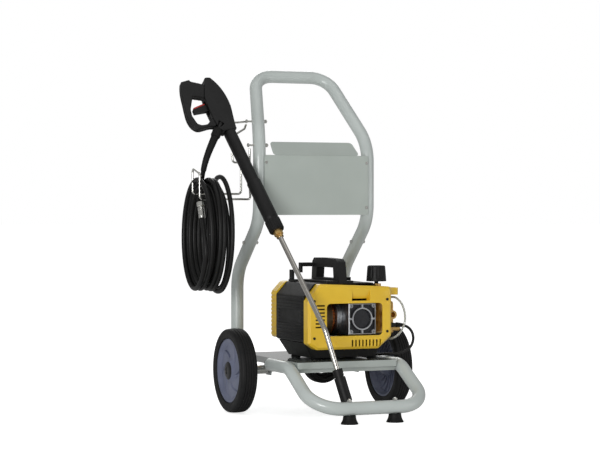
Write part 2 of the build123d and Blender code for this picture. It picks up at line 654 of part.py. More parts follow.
with BuildPart() as regulator_body:
    with BuildSketch(Plane(origin=(KNOB_X, KNOB_Y, MOTOR_Z + 60.1))):
        Circle(14)
        Circle(6.1, mode=Mode.SUBTRACT)
    extrude(amount=40)
    with BuildSketch(Plane(origin=(KNOB_X, KNOB_Y, MOTOR_Z + 60.1))):
        RegularPolygon(16.5, 6)
        Circle(6.1, mode=Mode.SUBTRACT)
    extrude(amount=10)
keep(regulator_body, "regulator_body")

with BuildPart() as regulator_knob:
    with BuildSketch(Plane(origin=(KNOB_X, KNOB_Y, 350))):
        Circle(6)
    extrude(amount=KNOB_Z - 350 + 4)
    with BuildSketch(Plane(origin=(KNOB_X, KNOB_Y, KNOB_Z))):
        Circle(30)
    with BuildSketch(Plane(origin=(KNOB_X, KNOB_Y, KNOB_Z + 47))):
        Circle(26.5)
    loft()
    fillet(regulator_knob.edges().filter_by(GeomType.CIRCLE).group_by(Axis.Z)[-1], 5)
    with BuildSketch(Plane(origin=(KNOB_X, KNOB_Y, KNOB_Z + 10))):
        with PolarLocations(32.5, 10):
            Circle(6.5)
    extrude(amount=40, mode=Mode.SUBTRACT)
keep(regulator_knob, "regulator_knob")

OUTLET_Y, OUTLET_Z = -167.0, 252.0
with BuildPart() as pressure_outlet:
    outlet = Plane(origin=(HEAD_R, OUTLET_Y, OUTLET_Z), z_dir=(1, 0, 0))
    with BuildSketch(outlet.offset(0.1)):
        RegularPolygon(13.5, 6)
        Circle(5, mode=Mode.SUBTRACT)
    extrude(amount=8)
    with BuildSketch(outlet.offset(8.1)):
        Circle(11)
        Circle(5, mode=Mode.SUBTRACT)
    extrude(amount=16)
keep(pressure_outlet, "pressure_outlet")

INLET_Z = 292.0
with BuildPart() as water_inlet:
    inlet = Plane(origin=(167.5, -182.05, INLET_Z), z_dir=(0, -1, 0))
    with BuildSketch(inlet):
        Circle(14.2)
        Circle(8, mode=Mode.SUBTRACT)
    extrude(amount=6)
    with BuildSketch(inlet.offset(6)):
        Circle(13.2)
        Circle(8, mode=Mode.SUBTRACT)
    extrude(amount=20)
keep(water_inlet, "water_inlet")

suction_points = [(168, -174, 331.1), (168, -174, 337.5), (173, -180, 343.5), (186, -191, 343), (198, -206, 326),
                  (202, -220, 298), (199, -226, 270), (191, -223, 246), (178, -211, 228), (167, -197, 220.5),
                  (161, -185, 220.5), (161, -178, 226.5), (161, -178, 234.9)]
keep(tube(suction_points, cord_radii(suction_points), 3.2, 1.8), "detergent_tube")

with BuildPart() as power_switch:
    with BuildSketch(Plane(origin=(66, -100, HOUSE_TOP + 0.3))):
        Circle(13)
    extrude(amount=4)
    with BuildSketch(Plane(origin=(66, -100, HOUSE_TOP + 4.3))):
        Rectangle(26, 7)
    extrude(amount=9)
keep(power_switch, "power_switch")

GLAND_Y, GLAND_Z = -206.0, 262.0
with BuildPart() as cord_gland:
    with BuildSketch(Plane(origin=(UNIT_RIGHT + 0.1, GLAND_Y, GLAND_Z), z_dir=(1, 0, 0))):
        Circle(10)
    extrude(amount=8)
    with BuildSketch(Plane(origin=(UNIT_RIGHT + 8.1, GLAND_Y, GLAND_Z), z_dir=(1, 0, 0))):
        Circle(8)
    with BuildSketch(Plane(origin=(UNIT_RIGHT + 26.1, GLAND_Y, GLAND_Z), z_dir=(1, 0, 0))):
        Circle(5.5)
    loft()
keep(cord_gland, "cord_gland")

# ---- spray gun ----------------------------------------------------------------------------
lance_way = (LANCE_BEND - GUN).normalized()
grip_way = (Vector(-1, 0, 0) - lance_way * Vector(-1, 0, 0).dot(lance_way)).normalized()
gun_plane = Plane(origin=GUN, x_dir=lance_way, z_dir=lance_way.cross(grip_way))
lance_plane = Plane(origin=GUN, z_dir=lance_way)
UNION_AT, union_way = Vector(-290, 40, 842), Vector(-0.49, -0.34, -0.80).normalized()
union_plane = Plane(origin=UNION_AT, z_dir=union_way)
BODY_HALF, GUARD_HALF = 16.0, 10.0
TRIGGER_PIVOT, LATCH_PIVOT = (-80, 27), (-94.5, 41.5)


def gun_shell(side):
    """One half of the gun's moulded body, grip and guard; side says which side of the split."""
    with BuildPart() as shell:
        with BuildSketch(gun_plane.offset(side * 0.1)):
            with BuildLine():
                Polyline((14, -21), (14, 21), (4, 34), (-36, 38), (-70, 37.5), (-93, 36), (-117, 33), (-161, 13),
                         (-182, 4), (-180, -13))
                Spline((-180, -13), (-144, -30), (-105, -37.3), (-69, -36.5), (-32, -29), (14, -21))
            make_face()
        extrude(amount=side * BODY_HALF)
        with BuildSketch(gun_plane.offset(side * 0.1)):
            with BuildLine():
                Polyline((0, 30), (-120, 20), (-161, 10), (-181, 52), (-187, 52), (-184, 82))
                Spline((-184, 82), (-144, 97.5), (-106, 106), (-55, 115), (-28, 112), (-11.5, 99), (-10, 79),
                       (-12, 53), (0, 30))
            make_face()
            with BuildLine():
                Polyline((-127, 66), (-117, 35), (-40, 36.5), (-22, 62), (-22, 80), (-30, 92), (-60, 97), (-84, 91),
                         close=True)
            make_face(mode=Mode.SUBTRACT)
        extrude(amount=side * GUARD_HALF)
        with BuildSketch(lance_plane.offset(-62)):
            Circle(11.8)
        extrude(amount=90, mode=Mode.SUBTRACT)
        with BuildSketch(union_plane.offset(-24)):
            Circle(12.6)
        extrude(amount=70, mode=Mode.SUBTRACT)
        with BuildSketch(gun_plane.offset(-7)):
            with Locations((-82, 30)):
                Rectangle(50, 30)
        extrude(amount=14, mode=Mode.SUBTRACT)
        if side < 0:
            with BuildSketch(gun_plane.offset(-7.5)):
                with Locations(TRIGGER_PIVOT):
                    Circle(2.2)
            extrude(amount=14)
    return shell


keep(gun_shell(-1), "gun_shell_left")
keep(gun_shell(1), "gun_shell_right")

with BuildPart() as gun_valve:
    with BuildSketch(lance_plane.offset(-60)):
        Circle(11.4)
    extrude(amount=74)
    with BuildSketch(lance_plane.offset(14)):
        Circle(6)
    extrude(amount=316)
    with BuildSketch(union_plane.offset(-22)):
        Circle(8)
    extrude(amount=30)
    with BuildSketch(union_plane.offset(6)):
        RegularPolygon(12.3, 6)
    extrude(amount=15)
    with BuildSketch(union_plane.offset(21)):
        Circle(9.6)
    extrude(amount=9)
keep(gun_valve, "gun_valve")

with BuildPart() as trigger:
    with BuildSketch(gun_plane.offset(-6)):
        with BuildLine():
            Polyline((-88, 24), (-92, 40), (-83, 83), (-69, 83), (-69, 40), (-72, 24), close=True)
        make_face()
        with Locations(TRIGGER_PIVOT):
            Circle(2.5, mode=Mode.SUBTRACT)
    extrude(amount=12)
keep(trigger, "trigger")

with BuildPart() as safety_latch:
    with BuildSketch(gun_plane.offset(-5)):
        with BuildLine():
            Polyline((-92.4, 42), (-84.7, 78), (-88.5, 79), (-97, 44), close=True)
        make_face()
        with Locations(LATCH_PIVOT):
            Circle(2.3)
    extrude(amount=10)
keep(safety_latch, "safety_latch")

HANDLE_TUBE_R, SLEEVE_R, COLLAR_R = 19.0, 21.5, 23.0
with BuildPart() as lance_handle:
    for start, length, radius in ((14.2, 182, HANDLE_TUBE_R), (196.2, 137.6, SLEEVE_R)):
        with BuildSketch(lance_plane.offset(start)):
            Circle(radius)
            Circle(6.2, mode=Mode.SUBTRACT)
        extrude(amount=length)
keep(lance_handle, "lance_handle")

with BuildPart() as lance_collar:
    with BuildSketch(lance_plane.offset(334.2)):
        Circle(COLLAR_R)
        Circle(10.08, mode=Mode.SUBTRACT)
        with PolarLocations(COLLAR_R + 1.6, 14):
            Circle(3, mode=Mode.SUBTRACT)
    extrude(amount=35)
    with BuildSketch(lance_plane.offset(334.2)):
        Circle(COLLAR_R - 1.8)
        Circle(10.08, mode=Mode.SUBTRACT)
    extrude(amount=38)
keep(lance_collar, "lance_collar")

with BuildPart() as lance_nut:
    with BuildSketch(lance_plane.offset(346)):
        Circle(10)
        Circle(7.6, mode=Mode.SUBTRACT)
    extrude(amount=26.6)
    with BuildSketch(lance_plane.offset(372.6)):
        RegularPolygon(14, 6)
        Circle(7.6, mode=Mode.SUBTRACT)
    extrude(amount=14)
    with BuildSketch(lance_plane.offset(386.6)):
        Circle(11)
        Circle(7.6, mode=Mode.SUBTRACT)
    extrude(amount=8)
keep(lance_nut, "lance_nut")

tip_way = (LANCE_TIP - LANCE_BEND).normalized()
NOZZLE_START = 116.0
keep(tube([tuple(GUN + lance_way * 346), tuple(LANCE_BEND), tuple(LANCE_BEND + tip_way * 130)], [70], 7.5, 4.5),
     "lance_tube")

nozzle_plane = Plane(origin=LANCE_BEND + tip_way * NOZZLE_START, z_dir=tip_way)
with BuildPart() as nozzle:
    for start, length, radius in ((0, 20, 14.5), (20, 4, 13), (24, 72, 16.5)):
        with BuildSketch(nozzle_plane.offset(start)):
            Circle(radius)
        extrude(amount=length)
    with BuildSketch(nozzle_plane.offset(-1)):
        Circle(7.6)
    extrude(amount=15.2, mode=Mode.SUBTRACT)
    with BuildSketch(nozzle_plane.offset(84)):
        Circle(8)
    extrude(amount=20, mode=Mode.SUBTRACT)
    chamfer(nozzle.edges().filter_by(GeomType.CIRCLE).sort_by(SortBy.RADIUS)[-1:], 2)
keep(nozzle, "nozzle")

# ---- high pressure hose -------------------------------------------------------------------
hose_start = UNION_AT + union_way * 30.1
hose_points = [tuple(hose_start), tuple(hose_start + union_way * 25), (-328, 18, 776), (-337, 18, 752),
               (-343, 21, 730), (-345, 24, 712), (-346, 25, 698.4)]
print("hose radii", [round(r) for r in cord_radii(hose_points)])
hose_run = tube(hose_points, cord_radii(hose_points), HOSE_R)
print("hose run length", round(hose_run.part.volume / (pi * HOSE_R ** 2)))
keep(hose_run, "pressure_hose_run")

COIL_Y, COIL_Z = 5.0, 530.0
with BuildPart() as pressure_hose_coil:
    with BuildSketch(Plane.YZ.offset(-369)):
        with Locations((COIL_Y, COIL_Z)):
            Ellipse(113, 168)
            Ellipse(88, 137, mode=Mode.SUBTRACT)
    extrude(amount=81)
keep(pressure_hose_coil, "pressure_hose_coil")

end_points = [(-380, -96, 470), (-380, -88, 512), (-381, -76, 555), (-381, -62, 592)]
hose_stub = tube(end_points, cord_radii(end_points), HOSE_R)
fitting_plane = Plane(origin=end_points[-1], z_dir=Vector(*end_points[-1]) - Vector(*end_points[-2]))
with BuildPart() as hose_end_fitting:
    with BuildSketch(fitting_plane):
        Circle(9)
    extrude(amount=22)
    with BuildSketch(fitting_plane.offset(22)):
        RegularPolygon(11, 6)
    extrude(amount=14)
    add(hose_stub.part)
keep(hose_end_fitting, "hose_end_fitting")

# ---- mains lead ---------------------------------------------------------------------------
LEAD_COIL = (125.0, 211.5, 122.5)
lead_points = [(UNIT_RIGHT + 26.2, GLAND_Y, GLAND_Z), (207, -206, 262), (231, -206, 245), (240, -203, 217.5),
               (231, -196, 190), (207, -184, 175), (182, -164, 173.5), (163, -142, 170.5),
               (152, -112, 168.5), (148, -70, 167.8), (149, -20, 168.2), (146, 32, 167.8), (148, 80, 168.2),
               (146, 124, 167.8), (148, 162, 168.6), (151, 195.2, 169.5)]
print("lead radii", [round(r) for r in cord_radii(lead_points)])
lead_run = tube(lead_points, cord_radii(lead_points), CORD_R)
print("lead run length", round(lead_run.part.volume / (pi * CORD_R ** 2)))
plug_points = [(98, 194.9, 168.6), (98, 181, 171.5), (95.5, 167, 178.5), (92, 154.5, 181), (88.3, 142, 181.2)]
print("plug end radii", [round(r) for r in cord_radii(plug_points)])
plug_run = tube(plug_points, cord_radii(plug_points), CORD_R)
with BuildPart() as power_cord_run:
    add(lead_run.part)
    add(plug_run.part)
keep(power_cord_run, "power_cord_run")

with BuildPart() as power_cord_coil:
    with BuildSketch(Plane.XZ.offset(-LEAD_COIL[1] + 15.5)):
        with Locations((LEAD_COIL[0], LEAD_COIL[2])):
            Circle(66)
            Circle(34, mode=Mode.SUBTRACT)
    extrude(amount=-31)
keep(power_cord_coil, "power_cord_coil")

plug_plane = Plane(origin=plug_points[-1], z_dir=Vector(*plug_points[-1]) - Vector(*plug_points[-2]))
with BuildPart() as power_plug:
    for start, length, radius in ((0.1, 14, 7.5), (14.1, 30, 18)):
        with BuildSketch(plug_plane.offset(start)):
            Circle(radius)
        extrude(amount=length)
    with BuildSketch(plug_plane.offset(44.1)):
        with Locations((-9.5, 0), (9.5, 0)):
            Circle(2.4)
    extrude(amount=19)
keep(power_plug, "power_plug")
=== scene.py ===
"""Trolley pressure washer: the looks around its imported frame, laid out as the machine is put together."""
import math

import bmesh
import bpy
import numpy as np
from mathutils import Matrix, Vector


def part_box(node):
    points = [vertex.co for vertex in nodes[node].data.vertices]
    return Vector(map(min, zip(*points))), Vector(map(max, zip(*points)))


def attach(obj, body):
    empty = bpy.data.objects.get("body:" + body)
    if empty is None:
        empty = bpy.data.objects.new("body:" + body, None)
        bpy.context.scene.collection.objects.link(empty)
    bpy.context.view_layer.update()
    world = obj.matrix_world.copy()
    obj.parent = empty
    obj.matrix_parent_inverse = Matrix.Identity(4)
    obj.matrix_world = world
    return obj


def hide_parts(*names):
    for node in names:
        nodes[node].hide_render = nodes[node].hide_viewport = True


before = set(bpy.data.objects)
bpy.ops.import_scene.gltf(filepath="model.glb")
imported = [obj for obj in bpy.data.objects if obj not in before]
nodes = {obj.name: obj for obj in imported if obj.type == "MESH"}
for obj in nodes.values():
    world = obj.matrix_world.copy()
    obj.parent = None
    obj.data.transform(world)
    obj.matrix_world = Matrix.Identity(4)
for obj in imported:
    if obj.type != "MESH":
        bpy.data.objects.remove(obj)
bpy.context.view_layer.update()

# ---- camera, floor and light ----------------------------------------------------------------
# The machine is measured in millimetres from the middle of its axle, over the floor; X right, Y back.
axle_low, axle_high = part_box("axle")
AXLE_MID = ((axle_low.x + axle_high.x) / 2, (axle_low.y + axle_high.y) / 2)


def at(x, y, z):
    """A point given in mm from the axle's middle over the floor, as metres in the frame."""
    return AXLE_MID[0] + x / 1000, AXLE_MID[1] + y / 1000, z / 1000


EYE, YAW, DIP = (-2377.4, -5422.8, 616.2), math.radians(23.3), math.radians(0.9)
FOCAL_MM = 117.6
eye = bpy.data.cameras.new("camera")
eye.lens = FOCAL_MM
eye.sensor_width = 36
eye.clip_end = 60
camera = bpy.data.objects.new("camera", eye)
camera.location = at(*EYE)
camera.rotation_euler = (math.pi / 2 - DIP, 0, -YAW)
bpy.context.scene.collection.objects.link(camera)
bpy.context.scene.camera = camera


def linear(hex_colour):
    """sRGB hex to linear RGBA."""
    parts = [int(hex_colour[i:i + 2], 16) / 255 for i in (1, 3, 5)]
    return tuple(p / 12.92 if p <= 0.04045 else ((p + 0.055) / 1.055) ** 2.4 for p in parts) + (1.0,)


def node(tree, kind, links=None, **settings):
    """Adds a shader node; settings name its own values or inputs, links join its inputs to outputs."""
    made = tree.nodes.new("ShaderNode" + kind)
    for name, value in settings.items():
        label = name.replace("_", " ").title() if not hasattr(made, name) else name
        if hasattr(made, name):
            setattr(made, name, value)
        else:
            made.inputs[label].default_value = value
    for name, source in (links or {}).items():
        tree.links.new(source, made.inputs[name])
    return made


def new_material(name, colour, roughness, metallic=0.0, **extra):
    """A Principled material named for the real one; returns it, its tree, shader and object coordinates."""
    made = bpy.data.materials.new(name)
    made.use_nodes = True
    tree = made.node_tree
    shader = tree.nodes["Principled BSDF"]
    shader.inputs["Base Color"].default_value = linear(colour)
    shader.inputs["Roughness"].default_value = roughness
    shader.inputs["Metallic"].default_value = metallic
    for label, value in extra.items():
        shader.inputs[label.replace("_", " ")].default_value = value
    place = node(tree, "TexCoord").outputs["Object"]
    return made, tree, shader, place


def mix_colours(tree, shader, factor, colours):
    """Colour ramp over a factor, into the shader's base colour; colours are (position, hex)."""
    ramp = node(tree, "ValToRGB", {"Fac": factor})
    stops = ramp.color_ramp.elements
    while len(stops) < len(colours):
        stops.new(0.5)
    for stop, (position, colour) in zip(stops, colours):
        stop.position = position
        stop.color = linear(colour)
    tree.links.new(ramp.outputs["Color"], shader.inputs["Base Color"])
    return ramp


def vary_roughness(tree, shader, factor, low, high):
    """Roughness running from low to high as the factor goes from 0 to 1."""
    span = node(tree, "MapRange", {"Value": factor})
    span.inputs["To Min"].default_value = low
    span.inputs["To Max"].default_value = high
    tree.links.new(span.outputs["Result"], shader.inputs["Roughness"])


def add_bump(tree, shader, height, depth_mm, strength=1.0):
    """Bump of a real depth in millimetres."""
    bump = node(tree, "Bump", {"Height": height})
    bump.inputs["Strength"].default_value = strength
    bump.inputs["Distance"].default_value = depth_mm / 1000
    tree.links.new(bump.outputs["Normal"], shader.inputs["Normal"])


def grain(tree, place, size_mm, detail=3.0, distortion=0.0):
    """Noise whose lumps are size_mm across."""
    made = node(tree, "TexNoise", {"Vector": place})
    made.inputs["Scale"].default_value = 1000 / size_mm
    made.inputs["Detail"].default_value = detail
    made.inputs["Distortion"].default_value = distortion
    return made.outputs["Fac"]


def mesh_object(name, verts, faces, material=None, smooth=True):
    """Mesh object from vertex rows and face rows, at the origin."""
    mesh = bpy.data.meshes.new(name)
    mesh.from_pydata(np.asarray(verts, float).tolist(), [], [list(map(int, f)) for f in faces])
    mesh.update()
    if smooth:
        mesh.polygons.foreach_set("use_smooth", [True] * len(mesh.polygons))
    made = bpy.data.objects.new(name, mesh)
    bpy.context.scene.collection.objects.link(made)
    if material:
        mesh.materials.append(material)
    return made


# The floor is a broad pale sheet, lit from within for the eye only, so that it stays white to the horizon.
FLOOR_HALF, FLOOR_GLOW = 60.0, 0.7
paper, tree, shader, place = new_material("pale studio floor", "#F4F4F4", 0.9, Specular_IOR_Level=0.1)
mix_colours(tree, shader, grain(tree, place, 900), [(0.35, "#F3F3F3"), (0.65, "#F6F6F6")])
to_eye = node(tree, "LightPath").outputs["Is Camera Ray"]
glow = node(tree, "Math", {"Value": to_eye}, operation="MULTIPLY")
glow.inputs[1].default_value = FLOOR_GLOW
shader.inputs["Emission Color"].default_value = linear("#FFFFFF")
tree.links.new(glow.outputs["Value"], shader.inputs["Emission Strength"])
floor_corners = [(-FLOOR_HALF, -FLOOR_HALF, 0), (FLOOR_HALF, -FLOOR_HALF, 0),
                 (FLOOR_HALF, FLOOR_HALF, 0), (-FLOOR_HALF, FLOOR_HALF, 0)]
floor = mesh_object("floor", floor_corners, [(0, 1, 2, 3)], paper)

SKY_SEEN, SKY_LIGHT = 1.0, 0.40  # the white backdrop, and how much light it sheds
world = bpy.data.worlds.new("studio")
bpy.context.scene.world = world
world.use_nodes = True
sky = world.node_tree.nodes["Background"]
sky.inputs["Color"].default_value = linear("#FFFFFF")
to_eye = node(world.node_tree, "LightPath").outputs["Is Camera Ray"]
level = node(world.node_tree, "MapRange", {"Value": to_eye})
level.inputs["To Min"].default_value = SKY_LIGHT
level.inputs["To Max"].default_value = SKY_SEEN
world.node_tree.links.new(level.outputs["Result"], sky.inputs["Strength"])
bpy.context.scene.view_settings.view_transform = "Standard"


def soft_box(name, spot, aim, size, power):
    """A square area lamp at a point in mm, turned to another point."""
    lamp = bpy.data.lights.new(name, "AREA")
    lamp.shape = "RECTANGLE"
    lamp.size, lamp.size_y = size
    lamp.energy = power
    made = bpy.data.objects.new(name, lamp)
    made.location = at(*spot)
    made.rotation_euler = (Vector(at(*aim)) - Vector(at(*spot))).to_track_quat("-Z", "Y").to_euler()
    bpy.context.scene.collection.objects.link(made)


soft_box("top_box", (-300, -700, 3000), (0, 0, 300), (2.4, 2.4), 12)
soft_box("front_box", (-2900, -3300, 800), (0, 0, 420), (1.6, 1.4), 84)
soft_box("right_box", (2600, -2600, 900), (0, 0, 400), (0.6, 1.6), 12)
soft_box("back_box", (900, 3000, 2000), (0, 0, 500), (2.2, 1.4), 24)

# ---- high-pressure hose ---------------------------------------------------------------------
# Rubber hose with a satin black cover, 14 mm outside, 8 m long: it drops from the gun's union and
# hangs on the cradle in about ten loose turns, and its free end comes up beside them.
HOSE_OD = 14.0
satin_rubber, tree, shader, place = new_material("satin black hose rubber", "#070707", 0.46,
                                                 Specular_IOR_Level=0.22)
mix_colours(tree, shader, grain(tree, place, 60), [(0.3, "#0D0D0D"), (0.7, "#161615")])
vary_roughness(tree, shader, grain(tree, place, 22), 0.34, 0.52)
add_bump(tree, shader, grain(tree, place, 2.2), 0.12)  # print of the braid, drawn coarse enough to show


def route_curve(name, points_mm, diameter_mm, material):
    """A round cord: one NURBS spline of order 3 over its route's points, with a round section."""
    line = bpy.data.curves.new(name, "CURVE")
    line.dimensions = "3D"
    line.resolution_u = 6
    spline = line.splines.new("NURBS")
    spline.points.add(len(points_mm) - 1)
    for spot, point in zip(spline.points, points_mm):
        spot.co = (*at(*point), 1.0)
    spline.order_u = 3
    spline.use_endpoint_u = True
    line.bevel_depth = diameter_mm / 2000
    line.bevel_resolution = 5
    line.use_fill_caps = True
    line.materials.append(material)
    made = bpy.data.objects.new(name, line)
    bpy.context.scene.collection.objects.link(made)
    return made


UNION_AT = Vector((-290, 40, 842))
union_way = Vector((-0.49, -0.34, -0.80)).normalized()
hose_start = UNION_AT + union_way * 30.1
hose_points = [tuple(hose_start), tuple(hose_start + union_way * 25), (-328, 18, 776), (-337, 18, 752),
               (-343, 20, 728), (-345, 27, 702), (-346, 40, 676), (-346, 62, 648)]
COIL_Y, COIL_Z = 5.0, 530.0
OUTER_TURN, INNER_TURN = (106.0, 161.0), (95.0, 144.0)  # half width and half height of a turn
TURN_POINTS = 16
FIRST_TURN, LAST_TURN = 0.175, 9.70  # turns counted from the top of the ring, over the back
whole = np.arange(FIRST_TURN, LAST_TURN, 1 / TURN_POINTS)
knots = [0, 1, 2, 2.55, 3.3, 3.9, 7.3, 7.9, 8.7, 9.3, 9.7]
turn_x = np.interp(whole, knots, [-346, -334, -322, -304, -295, -313, -359, -361, -362, -374, -380])
# 0 is an inner turn, 1 an outer one and 1.5 a loose one.
outer = np.interp(whole, knots, [1, 1, 1, 1.5, 1.5, 0, 0, 0.6, 1, 1, 1])
wander = 0.018 * np.sin(2.1 * whole + 0.6) * np.sin(math.tau * whole + 1.0)  # loose turns differ a little
bow = 1 / 0.981  # the spline runs inside its points by this much at 16 points a turn
half_y = (INNER_TURN[0] + (OUTER_TURN[0] - INNER_TURN[0]) * outer) * (1 + wander) * bow
half_z = (INNER_TURN[1] + (OUTER_TURN[1] - INNER_TURN[1]) * outer) * (1 + 0.6 * wander) * bow
turn_y = COIL_Y + half_y * np.sin(math.tau * whole)
turn_z = COIL_Z + half_z * np.cos(math.tau * whole)
for x, y, z in zip(turn_x, turn_y, turn_z):
    hose_points.append((float(x), float(y), float(z)))
hose_points += [(-380, -96, 478), (-380, -89, 512), (-381, -76, 555), (-381, -62, 592)]
hose = route_curve("pressure_hose", hose_points, HOSE_OD, satin_rubber)
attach(hose, "trolley")
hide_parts("pressure_hose_run", "pressure_hose_coil")


def route_line(curve_object):
    """Points along a curve's own spline, read from the curve with no section, in metres."""
    bare = curve_object.data.copy()
    bare.bevel_depth = 0
    bare.use_fill_caps = False
    probe = bpy.data.objects.new("probe", bare)
    bpy.context.scene.collection.objects.link(probe)
    mesh = bpy.data.meshes.new_from_object(probe)
    line = np.zeros(len(mesh.vertices) * 3)
    mesh.vertices.foreach_get("co", line)
    bpy.data.objects.remove(probe)
    bpy.data.meshes.remove(mesh)
    return line.reshape(-1, 3)


def carried(name, line, radii, material, sides=24):
    """A closed round skin along a line of points: a circle of each radius stands square to the line."""
    ahead = np.gradient(line, axis=0)
    ahead /= np.linalg.norm(ahead, axis=1)[:, None]
    across = np.cross(ahead, (0.31, 0.87, 0.38))
    across /= np.linalg.norm(across, axis=1)[:, None]
    other = np.cross(ahead, across)
    angle = np.linspace(0, math.tau, sides, endpoint=False)
    ring = across[:, None] * np.cos(angle)[None, :, None] + other[:, None] * np.sin(angle)[None, :, None]
    verts = line[:, None] + ring * np.asarray(radii)[:, None, None]
    count = len(line)
    verts = np.vstack([verts.reshape(-1, 3), line[:1], line[-1:]])
    step = np.arange(sides)
    pairs = list(zip(step, (step + 1) % sides))
    faces = [(k * sides + a, k * sides + b, (k + 1) * sides + b, (k + 1) * sides + a)
             for k in range(count - 1) for a, b in pairs]
    first, last = count * sides, count * sides + 1
    faces += [(first, b, a) for a, b in pairs]
    faces += [(last, (count - 1) * sides + a, (count - 1) * sides + b) for a, b in pairs]
    return mesh_object(name, verts, faces, material)


def along(line, start_mm, end_mm, count):
    """Evenly spaced points of a line between two distances from its start."""
    step = np.linalg.norm(np.diff(line, axis=0), axis=1)
    run = np.concatenate([[0], np.cumsum(step)]) * 1000
    want = np.linspace(start_mm, end_mm, count)
    return np.stack([np.interp(want, run, line[:, k]) for k in range(3)], axis=1)


# Bend guard: a soft rubber sleeve that grips the hose under the union and tapers away, with grip rings.
hose_line = route_line(hose)
GUARD_LONG, GUARD_TOP_R, GUARD_END_R = 112.0, 11.6, 8.4
guard_line = along(hose_line, 1.0, GUARD_LONG, 120)
along_guard = np.linspace(0, 1, 120)
guard_r = GUARD_TOP_R + (GUARD_END_R - GUARD_TOP_R) * along_guard
guard_r = guard_r + 0.35 * (np.sin(along_guard * math.tau * 14) > 0.2) * (along_guard < 0.75)
guard_r[-4:] -= np.array([0.2, 0.5, 0.9, 1.3])
soft_rubber, tree, shader, place = new_material("moulded black rubber", "#080808", 0.6,
                                                Specular_IOR_Level=0.2)
mix_colours(tree, shader, grain(tree, place, 30), [(0.3, "#0B0B0B"), (0.7, "#131312")])
add_bump(tree, shader, grain(tree, place, 1.2), 0.1)
bend_guard = carried("hose_bend_guard", guard_line, guard_r / 1000, soft_rubber)
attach(bend_guard, "trolley")

# Hose end: a crimped, zinc-plated ferrule on the hose and a hexagon union nut beyond it.
bright_zinc, tree, shader, place = new_material("bright zinc plated steel", "#C9C9C4", 0.24, 1.0)
mix_colours(tree, shader, grain(tree, place, 35), [(0.3, "#BDBDB9"), (0.7, "#D6D5CF")])
vary_roughness(tree, shader, grain(tree, place, 4), 0.16, 0.34)
end_low = Vector((-381, -76, 555))
end_top = Vector((-381, -62, 592))
end_way = (end_top - end_low).normalized()
FERRULE = [(-14, 8.9), (-13, 9.4), (-4, 9.4), (-3.2, 8.6), (-1.2, 8.6), (-0.4, 9.4), (6, 9.4), (6.8, 8.6),
           (8.8, 8.6), (9.6, 9.4), (17, 9.4), (18, 8.8), (18.5, 7.2), (22.2, 7.2)]


def turned(name, origin, way, profile, material, sides=48, lobes=0, lobe_mm=0.0, flat=False):
    """A part turned about an axis: profile rows are (distance along in mm, radius in mm); lobes flute it."""
    way = Vector(way).normalized()
    across = way.cross(Vector((0.31, 0.87, 0.38))).normalized()
    other = way.cross(across)
    rows = np.asarray(profile, float)
    angle = np.linspace(0, math.tau, sides, endpoint=False)
    flute = 1 + (np.cos(lobes * angle) * lobe_mm if lobes else 0 * angle)[None, :] / rows[:, 1:2].max()
    radius = rows[:, 1:2] * flute
    spots = (np.array(origin)[None, None] + np.array(way)[None, None] * rows[:, 0][:, None, None]
             + radius[..., None] * (np.cos(angle)[None, :, None] * np.array(across)
                                    + np.sin(angle)[None, :, None] * np.array(other)))
    count = len(rows)
    ends = [np.array(origin) + np.array(way) * rows[k, 0] for k in (0, -1)]
    spots = np.vstack([spots.reshape(-1, 3), ends])
    spots = np.array([at(*p) for p in spots])
    step = np.arange(sides)
    pairs = list(zip(step, (step + 1) % sides))
    faces = [(k * sides + a, k * sides + b, (k + 1) * sides + b, (k + 1) * sides + a)
             for k in range(count - 1) for a, b in pairs]
    faces += [(count * sides, b, a) for a, b in pairs]
    faces += [(count * sides + 1, (count - 1) * sides + a, (count - 1) * sides + b) for a, b in pairs]
    made = mesh_object(name, spots, faces, material, smooth=not flat)
    if not flat:
        by_angle(made)
    return made


def by_angle(made, degrees=32):
    """Smooth shading with its edges kept sharp past an angle."""
    made.data.polygons.foreach_set("use_smooth", [True] * len(made.data.polygons))
    made.data.set_sharp_from_angle(angle=math.radians(degrees))


# Hose nut: a black ribbed sleeve over the union, where the hose screws into the gun.
NUT = [(1.5, 12.8), (3.0, 14.0), (7, 14.2), (24, 14.2), (26.5, 13.4), (29.8, 11.8)]
hose_nut = turned("hose_nut_sleeve", UNION_AT, union_way, NUT, soft_rubber, sides=96, lobes=16, lobe_mm=0.55)
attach(hose_nut, "trolley")
ferrule = turned("hose_ferrule", end_top, end_way, FERRULE, bright_zinc)
hex_nut = turned("hose_union_nut", end_top, end_way, [(22.2, 9.2), (23.2, 10.6), (35, 10.6), (36, 9.2)],
                 bright_zinc, sides=6, flat=True)
for piece in (ferrule, hex_nut):
    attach(piece, "trolley")
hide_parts("hose_end_fitting")

# ---- mains lead -----------------------------------------------------------------------------
# Black rubber-sheathed lead, 8 mm, 5 m long: out of the gland on the right, down in one loop to the
# deck, back along it, and wound in a neat coil that stands behind the deck, with the plug on the deck.
# Nothing is modelled to hold the coil up.
LEAD_OD = 8.0
sheath, tree, shader, place = new_material("rubber lead sheath", "#080808", 0.5, Specular_IOR_Level=0.25)
mix_colours(tree, shader, grain(tree, place, 40), [(0.3, "#0D0D0D"), (0.7, "#161615")])
add_bump(tree, shader, grain(tree, place, 1.5), 0.08)
lead_points = [(178.2, -206, 262), (207, -206, 262), (231, -206, 245), (240, -203, 217.5),
               (231, -196, 190), (207, -184, 175), (182, -164, 173.5), (163, -142, 170.5),
               (152, -112, 168.5), (148, -70, 167.8), (149, -20, 168.2), (146, 32, 167.8),
               (148, 80, 168.2), (146, 122, 167.8), (147, 152, 168.8), (153, 178, 169.5),
               (164, 196, 165), (175, 203, 150), (182, 204, 130), (182, 203, 106)]
LEAD_MID = (125.0, 122.5)
LEAD_TURN_POINTS = 12
